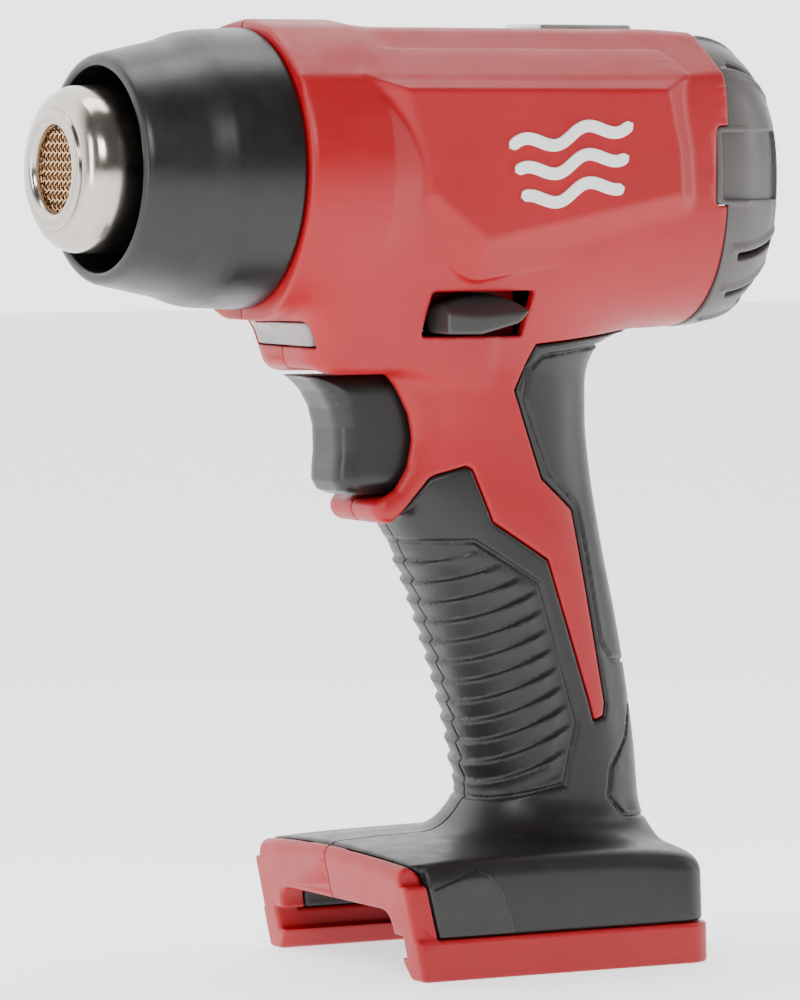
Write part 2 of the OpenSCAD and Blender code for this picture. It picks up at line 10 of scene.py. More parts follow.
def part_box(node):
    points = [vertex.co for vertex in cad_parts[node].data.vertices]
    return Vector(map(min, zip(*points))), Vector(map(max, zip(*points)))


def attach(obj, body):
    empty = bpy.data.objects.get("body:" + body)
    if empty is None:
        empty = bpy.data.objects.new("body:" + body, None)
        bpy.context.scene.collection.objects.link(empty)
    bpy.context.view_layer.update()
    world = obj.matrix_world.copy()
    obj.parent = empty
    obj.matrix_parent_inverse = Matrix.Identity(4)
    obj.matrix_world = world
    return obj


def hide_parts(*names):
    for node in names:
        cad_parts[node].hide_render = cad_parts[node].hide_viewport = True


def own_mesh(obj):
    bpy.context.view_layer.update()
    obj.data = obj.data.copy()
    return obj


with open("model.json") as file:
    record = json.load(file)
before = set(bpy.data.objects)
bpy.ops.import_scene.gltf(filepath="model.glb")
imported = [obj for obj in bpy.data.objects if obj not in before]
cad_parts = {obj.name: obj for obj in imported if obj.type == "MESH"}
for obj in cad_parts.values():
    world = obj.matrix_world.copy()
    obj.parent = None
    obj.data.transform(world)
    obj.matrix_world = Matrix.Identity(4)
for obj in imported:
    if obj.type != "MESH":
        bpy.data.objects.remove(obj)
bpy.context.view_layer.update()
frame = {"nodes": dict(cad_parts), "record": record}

# Shapes are worked out in millimetres in the frame of the model: the nozzle points along -X,
# the air axis is at AXIS_Z, and the left side of the gun is at -Y.
MM = 0.001
AXIS_Z = round(1000 * sum(c.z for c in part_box("nozzle")) / 2, 2)
NOSE_X = 1000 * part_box("nozzle")[0].x
NOZZLE_R = 19.35
MOUTH_R = 9.9
COVER_R = 32.9
FRONT_X = -43.0          # front face of the barrel
CAP_X = 73.0             # joint between the barrel and the rear cap
REAR_X = 1000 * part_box("rear_cap")[1].x
HALF_FOOT = -1000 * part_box("housing_left")[0].y
WALL = 2.4               # moulded wall
SKIN = 1.8               # soft grip layer
SEAM = 0.015             # half the gap between the two halves
PULL_Z = 126             # height of the trigger's spring and stem
VOXEL = 0.55      # cell size of the surface nets
SCREWS = [(-24, 152), (56, 152), (3.5, 104.5), (44, 100), (50, 50), (-3, 22.5), (57, 22.5)]


# ------------------------------------------------------------------ camera, light and floor
def make_camera():
    """The camera stands to the left of the nozzle, a little above the middle of the gun."""
    azimuth, elevation, roll = math.radians(-29.58), math.radians(3.67), math.radians(-0.21)
    target = Vector((0, 0, 0.1102))
    distance = 1.5234
    back = Vector((math.sin(azimuth) * math.cos(elevation), -math.cos(azimuth) * math.cos(elevation),
                   math.sin(elevation)))
    data = bpy.data.cameras.new("camera")
    data.lens = 230.6
    data.clip_start, data.clip_end = 0.05, 20
    cam = bpy.data.objects.new("camera", data)
    cam.location = target + back * distance
    look = (-back).to_track_quat("-Z", "Y").to_matrix()
    cam.rotation_euler = (look @ Matrix.Rotation(-roll, 3, "Z")).to_euler()
    bpy.context.scene.collection.objects.link(cam)
    bpy.context.scene.camera = cam


def area_light(name, place, target, size, power, colour=(1, 1, 1)):
    data = bpy.data.lights.new(name, "AREA")
    data.shape = "RECTANGLE"
    data.size, data.size_y = size
    data.energy = power
    data.color = colour
    lamp = bpy.data.objects.new(name, data)
    lamp.location = place
    lamp.rotation_euler = (Vector(target) - Vector(place)).to_track_quat("-Z", "Y").to_euler()
    bpy.context.scene.collection.objects.link(lamp)


def make_studio():
    world = bpy.data.worlds.new("studio")
    bpy.context.scene.world = world
    world.use_nodes = True
    tree = world.node_tree
    split = tree.nodes.new("ShaderNodeSeparateXYZ")
    tree.links.new(tree.nodes.new("ShaderNodeTexCoord").outputs["Generated"], split.inputs[0])
    fade = tree.nodes.new("ShaderNodeMapRange")
    fade.interpolation_type = "SMOOTHSTEP"
    for key, value in (("From Min", -0.1), ("From Max", 0.6), ("To Min", 0.16), ("To Max", 3.0)):
        fade.inputs[key].default_value = value
    tree.links.new(split.outputs["Y"], fade.inputs["Value"])
    tree.nodes["Background"].inputs["Color"].default_value = (1, 1, 1, 1)
    tree.links.new(fade.outputs["Result"], tree.nodes["Background"].inputs["Strength"])
    middle = (0, 0, 0.12)
    area_light("key", (-0.55, -0.95, 0.75), middle, (0.45, 0.4), 8)
    area_light("front", (-1.0, -0.25, 0.35), middle, (0.2, 0.7), 4.5)
    area_light("rear", (0.85, -0.3, 0.3), middle, (0.15, 0.8), 3.5)
    area_light("top", (0, 0.1, 0.95), middle, (0.7, 0.3), 4)
    bm = bmesh.new()
    for x in (-4, 4):
        for y in (-4, 4):
            bm.verts.new((x, y, 0))
    bmesh.ops.contextual_create(bm, geom=bm.verts)
    mesh = bpy.data.meshes.new("floor")
    bm.to_mesh(mesh)
    floor = bpy.data.objects.new("floor", mesh)
    bpy.context.scene.collection.objects.link(floor)
    floor.data.materials.append(plain_material("floor", (0.9, 0.9, 0.9), 0.8, 1.2))


# ------------------------------------------------------------------ materials
class Nodes:
    """Short names for building a node tree."""

    def __init__(self, name):
        self.mat = bpy.data.materials.new(name)
        self.mat.use_nodes = True
        self.tree = self.mat.node_tree
        self.bsdf = self.tree.nodes["Principled BSDF"]
        self.coords = self.tree.nodes.new("ShaderNodeTexCoord").outputs["Object"]

    def add(self, kind, **values):
        node = self.tree.nodes.new(kind)
        for key, value in values.items():
            setattr(node, key, value)
        return node

    def noise(self, scale, detail=4, roughness=0.55, stretch=None):
        node = self.add("ShaderNodeTexNoise")
        node.inputs["Scale"].default_value = scale
        node.inputs["Detail"].default_value = detail
        node.inputs["Roughness"].default_value = roughness
        source = self.coords
        if stretch:
            mapping = self.add("ShaderNodeMapping")
            mapping.inputs["Scale"].default_value = stretch
            self.tree.links.new(source, mapping.inputs["Vector"])
            source = mapping.outputs["Vector"]
        self.tree.links.new(source, node.inputs["Vector"])
        return node.outputs["Fac"]

    def ramp(self, source, stops):
        node = self.add("ShaderNodeValToRGB")
        elements = node.color_ramp.elements
        while len(elements) < len(stops):
            elements.new(0.5)
        for element, (place, colour) in zip(elements, stops):
            element.position = place
            element.color = (*colour, 1)
        self.tree.links.new(source, node.inputs["Fac"])
        return node.outputs["Color"]

    def spread(self, source, low, high, start=0.3, end=0.7):
        node = self.add("ShaderNodeMapRange")
        for key, value in (("From Min", start), ("From Max", end), ("To Min", low), ("To Max", high)):
            node.inputs[key].default_value = value
        self.tree.links.new(source, node.inputs["Value"])
        return node.outputs["Result"]

    def mix(self, factor, a, b):
        node = self.add("ShaderNodeMix", data_type="RGBA")
        self.tree.links.new(factor, node.inputs["Factor"])
        for socket, value in (("A", a), ("B", b)):
            target = [s for s in node.inputs if s.name == socket and s.type == "RGBA"][0]
            if isinstance(value, tuple):
                target.default_value = (*value, 1)
            else:
                self.tree.links.new(value, target)
        return [s for s in node.outputs if s.type == "RGBA"][0]

    def edges(self, low=0.52, high=0.6):
        """Worn convex edges, from how pointed the mesh is."""
        return self.spread(self.add("ShaderNodeNewGeometry").outputs["Pointiness"], 0, 1, low, high)

    def bump(self, source, height, strength=1.0, under=None):
        node = self.add("ShaderNodeBump")
        node.inputs["Strength"].default_value = strength
        node.inputs["Distance"].default_value = height
        self.tree.links.new(source, node.inputs["Height"])
        if under:
            self.tree.links.new(under, node.inputs["Normal"])
        return node.outputs["Normal"]

    def link(self, source, socket):
        self.tree.links.new(source, self.bsdf.inputs[socket])


def plain_material(name, colour, rough, glow):
    n = Nodes(name)
    n.bsdf.inputs["Emission Color"].default_value = (1, 1, 1, 1)
    n.bsdf.inputs["Emission Strength"].default_value = glow
    n.bsdf.inputs["Base Color"].default_value = (*colour, 1)
    n.bsdf.inputs["Roughness"].default_value = rough
    return n.mat


def moulded(name, colour, rough, grain=1500, height=0.00002, wear=0.25, variation=0.08, specular=0.5):
    """Moulded plastic: a fine texture from the mould, slow colour variation and rubbed edges."""
    n = Nodes(name)
    dark = tuple(c * (1 - variation) for c in colour)
    light = tuple(min(1, c * (1 + variation) + 0.002) for c in colour)
    base = n.ramp(n.noise(38, 5), [(0.3, dark), (0.7, light)])
    worn = tuple(min(1, c * 1.3 + 0.02) for c in colour)
    edge = n.edges()
    fade = n.add("ShaderNodeMath", operation="MULTIPLY")
    n.tree.links.new(edge, fade.inputs[0])
    fade.inputs[1].default_value = wear
    n.link(n.mix(fade.outputs[0], base, worn), "Base Color")
    n.link(n.spread(n.noise(160, 4), rough - 0.05, rough + 0.06), "Roughness")
    fine = n.bump(n.noise(grain, 3, 0.6), height, 0.6)
    n.link(n.bump(n.noise(55, 2), 0.00006, 0.25, fine), "Normal")
    n.bsdf.inputs["Specular IOR Level"].default_value = specular
    return n.mat


def metal(name, colour, rough, tint=None, stretch=None, scratches=0.5):
    """Bare metal with fine scratches, slow roughness variation and, if given, a heat tint."""
    n = Nodes(name)
    n.bsdf.inputs["Metallic"].default_value = 1
    dark = tuple(c * 0.88 for c in colour)
    base = n.ramp(n.noise(60, 6), [(0.35, dark), (0.65, colour)])
    if tint:
        base = n.mix(n.spread(n.noise(24, 3), 0, 0.35), base, tint)
    n.link(base, "Base Color")
    n.link(n.spread(n.noise(220, 5), rough * 0.8, rough * 1.3), "Roughness")
    n.link(n.bump(n.noise(900, 4, 0.7, stretch), 0.000012, scratches), "Normal")
    return n.mat


def glassy(name, colour, rough):
    n = Nodes(name)
    n.link(n.ramp(n.noise(120, 4), [(0.3, tuple(c * 0.9 for c in colour)), (0.7, colour)]), "Base Color")
    n.link(n.spread(n.noise(500, 3), rough - 0.05, rough + 0.08), "Roughness")
    n.link(n.bump(n.noise(1400, 3), 0.00002, 0.5), "Normal")
    n.bsdf.inputs["Subsurface Weight"].default_value = 0.35
    n.bsdf.inputs["Subsurface Scale"].default_value = 0.002
    n.bsdf.inputs["Coat Weight"].default_value = 0.2
    n.bsdf.inputs["Coat Roughness"].default_value = 0.3
    return n.mat


def board(name):
    """A printed circuit board: solder mask with copper tracks just under it."""
    n = Nodes(name)
    brick = n.add("ShaderNodeTexBrick")
    brick.inputs["Scale"].default_value = 260
    brick.inputs["Mortar Size"].default_value = 0.03
    brick.inputs["Color1"].default_value = (0.02, 0.13, 0.05, 1)
    brick.inputs["Color2"].default_value = (0.02, 0.16, 0.06, 1)
    brick.inputs["Mortar"].default_value = (0.05, 0.26, 0.1, 1)
    n.tree.links.new(n.coords, brick.inputs["Vector"])
    n.link(brick.outputs["Color"], "Base Color")
    n.link(n.spread(n.noise(300), 0.22, 0.4), "Roughness")
    n.link(n.bump(brick.outputs["Fac"], 0.00004, 0.5), "Normal")
    return n.mat


def make_materials():
    return {
        "red_plastic": moulded("red_plastic", (0.315, 0.0018, 0.0060), 0.42,
                               wear=0.12, variation=0.05, specular=0.4),
        "grip_rubber": moulded("grip_rubber", (0.0082, 0.0075, 0.0072), 0.42,
                               1100, 0.00003, 0.5, specular=0.42),
        "smooth_rubber": moulded("smooth_rubber", (0.011, 0.010, 0.0095), 0.3,
                                 900, 0.00001, 0.3, specular=0.45),
        "black_plastic": moulded("black_plastic", (0.0075, 0.0068, 0.0066), 0.34,
                                 900, 0.00002, 0.4, specular=0.42),
        "nozzle_steel": metal("nozzle_steel", (0.52, 0.485, 0.44), 0.18, (0.38, 0.32, 0.25)),
        "bronze_wire": metal("bronze_wire", (0.66, 0.42, 0.24), 0.3, (0.35, 0.2, 0.1)),
        "mica": moulded("mica", (0.5, 0.44, 0.34), 0.6, 700, 0.00004, 0.1, 0.15),
        "screw_steel": metal("screw_steel", (0.45, 0.45, 0.46), 0.35, None, (1, 1, 6)),
        "heater_wire": metal("heater_wire", (0.3, 0.26, 0.24), 0.5, (0.2, 0.14, 0.12)),
        "motor_steel": metal("motor_steel", (0.5, 0.5, 0.5), 0.32, None, (8, 1, 1)),
        "magnet": metal("magnet", (0.1, 0.1, 0.11), 0.6),
        "copper_alloy": metal("copper_alloy", (0.72, 0.48, 0.26), 0.3),
        "rotor_iron": metal("rotor_iron", (0.3, 0.2, 0.15), 0.45, None, (30, 1, 1)),
        "fan_plastic": moulded("fan_plastic", (0.03, 0.03, 0.032), 0.5, 900, 0.00003),
        "grey_plastic": moulded("grey_plastic", (0.082, 0.076, 0.073), 0.42,
                                1000, 0.00002, 0.35, specular=0.4),
        "dark_grey_plastic": moulded("dark_grey_plastic", (0.030, 0.028, 0.027), 0.42, 1000, 0.00002, 0.6),
        "frosted_lens": glassy("frosted_lens", (0.27, 0.24, 0.24), 0.42),
        "circuit_board": board("circuit_board"),
        "aluminium": metal("aluminium", (0.72, 0.72, 0.74), 0.35, None, (1, 1, 20)),
        "capacitor_sleeve": moulded("capacitor_sleeve", (0.04, 0.06, 0.17), 0.3),
        "red_lead": moulded("red_lead", (0.45, 0.015, 0.015), 0.35),
        "blue_lead": moulded("blue_lead", (0.02, 0.05, 0.35), 0.35),
        "white_lead": moulded("white_lead", (0.72, 0.7, 0.64), 0.7, 2200, 0.00006),
        "yellow_lead": moulded("yellow_lead", (0.55, 0.38, 0.03), 0.35),
        "label_plate": metal("label_plate", (0.62, 0.66, 0.6), 0.38, None, (40, 1, 1)),
        "white_emblem": moulded("white_emblem", (0.80, 0.78, 0.77), 0.4, 1500, 0.00001, 0.1, 0.03),
    }


# ------------------------------------------------------------------ implicit shapes
# A shape is a function that is negative inside. x, y and z are arrays that broadcast.
def smin(a, b, k):
    h = np.maximum(k - np.abs(a - b), 0) / k
    return np.minimum(a, b) - h * h * k / 4


def smax(a, b, k):
    return -smin(-a, -b, k)


def curve(points):
    """A smooth curve through (place, value) points, as a function."""
    t = np.array([p[0] for p in points], float)
    v = np.array([p[1] for p in points], float)
    slope = np.gradient(v, t)
    fine = np.linspace(t[0], t[-1], 700)
    i = np.clip(np.searchsorted(t, fine) - 1, 0, len(t) - 2)
    h = t[i + 1] - t[i]
    s = (fine - t[i]) / h
    value = ((1 + 2 * s) * (1 - s) ** 2 * v[i] + s * (1 - s) ** 2 * h * slope[i]
             + s * s * (3 - 2 * s) * v[i + 1] + s * s * (s - 1) * h * slope[i + 1])
    return lambda q: np.interp(q, fine, value).astype(np.float32)


def straight(points):
    """A broken line through (place, value) points, as a function."""
    t = [p[0] for p in points]
    v = [p[1] for p in points]
    return lambda q: np.interp(q, t, v).astype(np.float32)


def oval(u, v, a, b, n):
    """Distance to a superellipse with half axes a and b and squareness n, exact near its outline."""
    p, q = np.abs(u) / a, np.abs(v) / b
    total = np.maximum(p ** n + q ** n, 1e-4)
    rho = total ** (1 / n)
    slope = np.sqrt((p ** (n - 1) / a) ** 2 + (q ** (n - 1) / b) ** 2) * rho / total
    return (rho - 1) / np.maximum(slope, 0.6 / np.maximum(a, b))


def outline(u, v, points):
    """Signed distance to a closed outline in a plane."""
    best, inside = None, None
    for (u0, v0), (u1, v1) in zip(points, points[1:] + points[:1]):
        du, dv = u1 - u0, v1 - v0
        t = np.clip(((u - u0) * du + (v - v0) * dv) / (du * du + dv * dv), 0, 1)
        d = (u - u0 - t * du) ** 2 + (v - v0 - t * dv) ** 2
        cross = ((v0 > v) != (v1 > v)) & (u < du * (v - v0) / (dv if dv else 1e-9) + u0)
        best = d if best is None else np.minimum(best, d)
        inside = cross if inside is None else inside ^ cross
    return np.where(inside, -1, 1) * np.sqrt(best)


def path_distance(u, v, points):
    """Distance to an open path in a plane."""
    best = None
    for (u0, v0), (u1, v1) in zip(points, points[1:]):
        du, dv = u1 - u0, v1 - v0
        t = np.clip(((u - u0) * du + (v - v0) * dv) / (du * du + dv * dv), 0, 1)
        d = (u - u0 - t * du) ** 2 + (v - v0 - t * dv) ** 2
        best = d if best is None else np.minimum(best, d)
    return np.sqrt(best)


def groove(distance, width, depth):
    """How far a round-bottomed groove of this width and depth cuts in."""
    t = np.clip(np.abs(distance) / width, 0, 1)
    return depth * (1 - t * t) ** 2


def block(x, y, z, low, high, k):
    """A box with rounded edges."""
    f = None
    for q, a, b in ((x, low[0], high[0]), (y, low[1], high[1]), (z, low[2], high[2])):
        side = np.abs(q - (a + b) / 2) - (b - a) / 2
        f = side if f is None else smax(f, side, k)
    return f


# ------------------------------------------------------------------ from a shape to a mesh
CORNERS = [(i, j, k) for i in (0, 1) for j in (0, 1) for k in (0, 1)]
EDGES = [(a, b) for a in CORNERS for b in CORNERS
         if sum(b) - sum(a) == 1 and all(q >= p for p, q in zip(a, b))]


def net(shape, low, high, step):
    """Vertices and quads of a shape's surface on a grid: one vertex in each cell that the surface crosses."""
    axes = [np.arange(a - 2 * step, b + 3 * step, step, dtype=np.float32) for a, b in zip(low, high)]
    grid = np.broadcast_to(shape(axes[0][:, None, None], axes[1][None, :, None], axes[2][None, None, :]),
                           [len(a) for a in axes])
    grid = np.ascontiguousarray(grid, dtype=np.float32)
    inside = grid < 0
    nx, ny, nz = (len(a) - 1 for a in axes)
    count = np.zeros((nx, ny, nz), np.uint8)
    for i, j, k in CORNERS:
        count += inside[i:i + nx, j:j + ny, k:k + nz]
    cells = np.argwhere((count > 0) & (count < 8))
    index = np.full((nx, ny, nz), -1, np.int32)
    index[tuple(cells.T)] = np.arange(len(cells))
    total = np.zeros((len(cells), 3))
    hits = np.zeros(len(cells))
    for a, b in EDGES:
        va = grid[tuple((cells + a).T)]
        vb = grid[tuple((cells + b).T)]
        cut = (va < 0) != (vb < 0)
        t = np.where(cut, va / np.where(cut, va - vb, 1), 0)
        total += np.where(cut[:, None], np.array(a) + t[:, None] * (np.array(b) - np.array(a)), 0)
        hits += cut
    start = np.array([a[0] for a in axes])
    points = start + (cells + total / hits[:, None]) * step
    quads = []
    for axis in range(3):
        one = [0, 0, 0]
        one[axis] = 1
        p, q = [d for d in range(3) if d != axis]
        here = inside[:nx, :ny, :nz]
        there = inside[one[0]:nx + one[0], one[1]:ny + one[1], one[2]:nz + one[2]]
        at = np.argwhere(here != there)
        at = at[(at[:, p] > 0) & (at[:, q] > 0)]
        step_p, step_q = np.eye(3, dtype=int)[p], np.eye(3, dtype=int)[q]
        ring = [index[tuple((at - d).T)] for d in (0, step_p, step_p + step_q, step_q)]
        ring = np.stack(ring, 1)
        flip = here[tuple(at.T)] == (axis != 1)
        ring[flip] = ring[flip][:, ::-1]
        quads.append(ring)
    return points, np.concatenate(quads)


def gradient(shape, points, step=0.05):
    x, y, z = points.T
    g = [shape(x + d[0], y + d[1], z + d[2]) - shape(x - d[0], y - d[1], z - d[2]) for d in np.eye(3) * step]
    return np.stack(g, 1) / (2 * step)


def settle(shape, points, reach, rounds=3):
    """Moves points onto the surface, each by no more than reach in a round."""
    for _ in range(rounds):
        g = gradient(shape, points)
        size = np.maximum((g * g).sum(1), 0.05)
        move = shape(*points.T)[:, None] * g / size[:, None]
        far = np.linalg.norm(move, axis=1)
        points = points - move * np.minimum(1, reach / np.maximum(far, 1e-9))[:, None]
    return points


def mesh_object(name, points, faces):
    mesh = bpy.data.meshes.new(name)
    mesh.from_pydata((np.asarray(points) * MM).tolist(), [], [list(map(int, f)) for f in faces])
    mesh.update()
    obj = bpy.data.objects.new(name, mesh)
    bpy.context.scene.collection.objects.link(obj)
    return obj


def face_outward(obj):
    bm = bmesh.new()
    bm.from_mesh(obj.data)
    bmesh.ops.recalc_face_normals(bm, faces=bm.faces)
    bm.to_mesh(obj.data)


def thin(obj, ratio):
    """Collapses the edges that the shape needs least."""
    modifier = obj.modifiers.new("thin", "DECIMATE")
    modifier.ratio = ratio
    mesh = bpy.data.meshes.new_from_object(obj.evaluated_get(bpy.context.evaluated_depsgraph_get()))
    old = obj.data
    obj.modifiers.clear()
    obj.data = mesh
    bpy.data.meshes.remove(old)


def shade_from(obj, shape):
    """Gives the mesh the exact normals of its shape, away from creases that the mesh can't hold."""
    mesh = obj.data
    mesh.shade_smooth()
    co = np.empty(len(mesh.vertices) * 3, np.float32)
    mesh.vertices.foreach_get("co", co)
    points = co.reshape(-1, 3).astype(np.float64) / MM
    g = gradient(shape, points, 0.12)
    g /= np.maximum(np.linalg.norm(g, axis=1), 1e-9)[:, None]
    own = np.empty(len(mesh.vertices) * 3, np.float32)
    mesh.vertex_normals.foreach_get("vector", own)
    own = own.reshape(-1, 3)
    agree = (g * own).sum(1)
    g = np.where((agree > 0.8)[:, None], g, own)
    mesh.normals_split_custom_set_from_vertices([tuple(n) for n in g])


def solid(name, shape, low, high, step=None, keep=0.45):
    """The mesh of an implicit shape within a box, in millimetres."""
    step = step or VOXEL
    points, quads = net(shape, low, high, step)
    points = settle(shape, points, step / 2)
    obj = mesh_object(name, points, quads)
    if keep < 1:
        thin(obj, keep)
    shade_from(obj, shape)
    return obj


def dress(obj, body, slot, material, *nodes):
    """Finishes a piece: its body, the CAD nodes that it stands for and its material. The slot argument is not
    used.
    """
    obj.data.materials.clear()
    obj.data.materials.append(MATERIALS[material])
    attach(obj, body)
    if nodes:
        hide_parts(*nodes)
    return obj


# ------------------------------------------------------------------ the outer form of the body
HALF_WIDTH = curve([(-45, 31), (0, 31.2), (40, 31.2), (60, 30.8), (75, 29.8)])
TOP_Z = curve([(-45, 222.3), (40, 222.3), (66, 222.2), (75, 221.6)])
BOTTOM_Z = curve([(-45, 153), (0, 151), (40, 149.6), (60, 149.4), (75, 150.8)])
CHAMFER = (0.565, 0.825, 190.2)      # plane of the long facets above the sides
MID_Z = AXIS_Z - 3
COLLAR_R = straight([(-44, 33.2), (-42.4, 34.4), (-41.2, 35), (-21.5, 35), (-10, 32.2)])
PANEL_Y = 33.3                       # flat side panels
PANEL = [(-17.5, 209.4), (-10.8, 189), (-10, 183.4), (4.6, 172.6), (58, 183), (57.4, 193), (53.5, 209.4)]

# The handle's front and back (x) and half width at each height z.
HANDLE_FRONT = curve([(20, 14), (34, 15.6), (39, 17.8), (48, 16.9), (64, 12.9), (81, 7.2),
                      (93, 2.6), (101, -1.4), (106, -4.6), (112, -7.4), (120, -6.6),
                      (127, -6.6), (134, -8.4), (139, -10), (180, -10)])
HANDLE_BACK = curve([(20, 64.5), (34, 64), (39, 63.2), (48, 62.4), (64, 60.1), (81, 56.8),
                     (93, 54), (101, 52.3), (111, 50.5), (120, 49), (127, 48.2), (134, 48),
                     (180, 50)])
HANDLE_HALF = curve([(20, 17.6), (34, 17), (39, 16.8), (48, 16.6), (64, 16.6), (81, 17),
                     (101, 17.3), (120, 17), (134, 17.4), (150, 18.5), (180, 24)])
NUB_FRONT = curve([(136, -30), (142, -31), (147, -32), (156, -33.6), (180, -36)])
NUB_HALF = curve([(136, 15.6), (142, 16.4), (149, 18.4), (156, 21), (170, 26), (180, 29)])


def barrel(x, y, z):
    side = np.abs(y)
    top, low = TOP_Z(x) - MID_Z, MID_Z - BOTTOM_Z(x)
    upper = oval(side, z - MID_Z, HALF_WIDTH(x), top, 4.0)
    lower = oval(side, z - MID_Z, HALF_WIDTH(x), low, 2.3)
    f = np.where(z > MID_Z, upper, lower)
    facet = CHAMFER[0] * side + CHAMFER[1] * z - CHAMFER[2]
    f = smax(f, facet, 1.2)
    collar = smax(np.sqrt(y * y + (z - AXIS_Z) ** 2) - COLLAR_R(x), x + 11, 1.0)
    f = smin(f, collar, 1.6)
    f = smin(f, panel(x, side, z, facet), 0.7)
    return smax(smax(f, FRONT_X - x, 0.8), x - CAP_X, 0.6)


def panel(x, side, z, facet):
    """The raised flat on each side, with wide bevels round it."""
    around = outline(x, z, PANEL)
    bevel = (around + 1.8 * (side - PANEL_Y)) / 2.06
    f = smax(smax(side - PANEL_Y, bevel, 0.5), facet, 0.6)
    return np.maximum(np.maximum(f, around - 9), 20 - side)


def handle(x, y, z):
    front, back = HANDLE_FRONT(z), HANDLE_BACK(z)
    f = oval(x - (front + back) / 2, y, (back - front) / 2, HANDLE_HALF(z), 2.5) * 0.96
    return smax(smax(f, z - 161, 2), 18 - z, 2)


def nub(x, y, z):
    """The block under the front of the barrel that holds the lamp and hides the top of the trigger."""
    f = smax((NUB_FRONT(z) - x) * 0.98, np.abs(y) - NUB_HALF(z), 9)
    f = smax(f, 140.9 - z, 3.5)
    return smax(smax(f, z - 166, 2), x - 12, 2)


GUARD = [(-9.6, 109), (-5.6, 111.4), (-1.6, 117.4), (0.4, 125.1), (-0.8, 132.4), (-6, 140.8)]


def rim(x, y, z):
    """The rounded rim that runs down behind the trigger and curls forward under it."""
    away = path_distance(x, z, GUARD)
    f = np.sqrt(np.maximum(away, 0.01) ** 2 + np.maximum(np.abs(y) - 9.6, 0) ** 2) - 3.6
    return smax(f, np.abs(y) - 13.4, 1.5)


FOOT_TOP = curve([(-24, 29.0), (-16, 29.6), (10, 30.6), (45, 30.2), (60, 28.8), (70, 27.4)])
FOOT_BAND_Z = 9.8        # top of the red band round the foot


def foot(x, y, z):
    side = np.abs(y)
    lean = (-14.4 - x - 6.2 * z / 28) * 0.976
    above = np.clip((z - FOOT_BAND_Z + 0.3) / 0.6, 0, 1)     # 0 in the red band, 1 above it
    wall = side - (HALF_FOOT - 0.75 * above - 0.02 * np.maximum(z - 10, 0))
    roof = z - (FOOT_TOP(x) - 0.0022 * side * side)
    rear = x - (65.8 - 0.7 * above - 0.03 * z)
    f = smax(smax(wall, rear, 7), lean, 1.2)
    f = smax(f, roof, 4.5)
    shoulder = block(x, side, z, (-40, 34.3, 22.6), (-13.2, 60, 60), 0.8)
    f = smax(f, -shoulder, 0.8)
    return smax(f, -z, 0.8)


SLOT_FRONT, SLOT_REAR, SLOT_ROOF = -60, 57, 16
RAIL_GROOVE = ((-60, 20, 5), (50, 31, 10.4))
TERMINAL_WINDOW = ((22, -18.1, 10), (50.1, 18.1, 19.4))
TRIGGER_ROOM = ((-70, -9.9, 111.5), (12, 9.9, 141.2))


def slot_room(x, y, z):
    """The open slot between the rails of the foot, with its grooves and the terminal window."""
    side = np.abs(y)
    arch = smax(side - 27 - 4.5 * np.clip((7 - z) / 7, 0, 1), z - SLOT_ROOF, 5)
    bay = smax(arch, np.maximum(x - SLOT_REAR, SLOT_FRONT - x), 1.5)
    rails = block(x, side, z, *RAIL_GROOVE, 0.8)
    return smin(smin(bay, rails, 0.5), block(x, side, z, *TERMINAL_WINDOW, 0.5), 0.5)


def trigger_room(x, y, z):
    return block(x, y, z, *TRIGGER_ROOM, 1.5)


def whole(x, y, z):
    """The whole plastic body without its fine detail."""
    f = smin(barrel(x, y, z), handle(x, y, z), 13)
    f = smin(f, nub(x, y, z), 5)
    f = smin(f, rim(x, y, z), 3)
    f = smin(f, foot(x, y, z), 9)
    f = smax(f, FRONT_X - x, 0.8)
    f = smax(f, x - CAP_X, 0.6)
    f = smax(f, -trigger_room(x, y, z), 2.6)
    return smax(f, -slot_room(x, y, z), 1.0)


# ------------------------------------------------------------------ soft grips
FRONT_GRIP = [(-9.5, 104), (-4.5, 110), (0.4, 116), (2, 116.8), (9, 118.8), (10.6, 118),
              (16, 105.4), (31, 96), (43.2, 61.8), (44.6, 57), (47.4, 57), (47.4, 26),
              (-60, 26), (-60, 104)]
BACK_GRIP = [(21.4, 136.6), (26.4, 147.4), (58.5, 150.2), (90, 150.2), (90, 26), (45, 26), (45, 57),
             (47.4, 57.8), (48, 61), (38.4, 107.8), (29.4, 115.4)]
FOOT_SKIN = [(-10.2, FOOT_BAND_Z), (-13.8, 24.8), (-18.3, 28.4), (-18.8, 33.5), (90, 33.5), (90, FOOT_BAND_Z)]
RIBBED = [(-14, 99), (-4, 100.7), (11.5, 101), (28.6, 90.4), (39.6, 57), (36.2, 42), (20, 38.6), (-14, 36.4)]
BACK_PAD = [(24.8, 141.6), (24, 134.4), (31.6, 116.6), (40.4, 108.6), (46.8, 76), (50.4, 71.4), (80, 67)]
BACK_PAD_TOP = [(24.8, 141.6), (29, 144.8), (52, 147)]
HEEL_PAD = [(66, 64), (57.4, 60), (55, 52.4), (49.6, 45.4), (48.6, 38.4), (53.4, 33.8), (66, 32.4)]
RIB_PITCH = 5.3
RIB_HEIGHT = 1.15


def grip_region(x, z):
    f = np.minimum(outline(x, z, FRONT_GRIP), outline(x, z, BACK_GRIP))
    return np.minimum(np.maximum(f, 29 - z), outline(x, z, FOOT_SKIN))


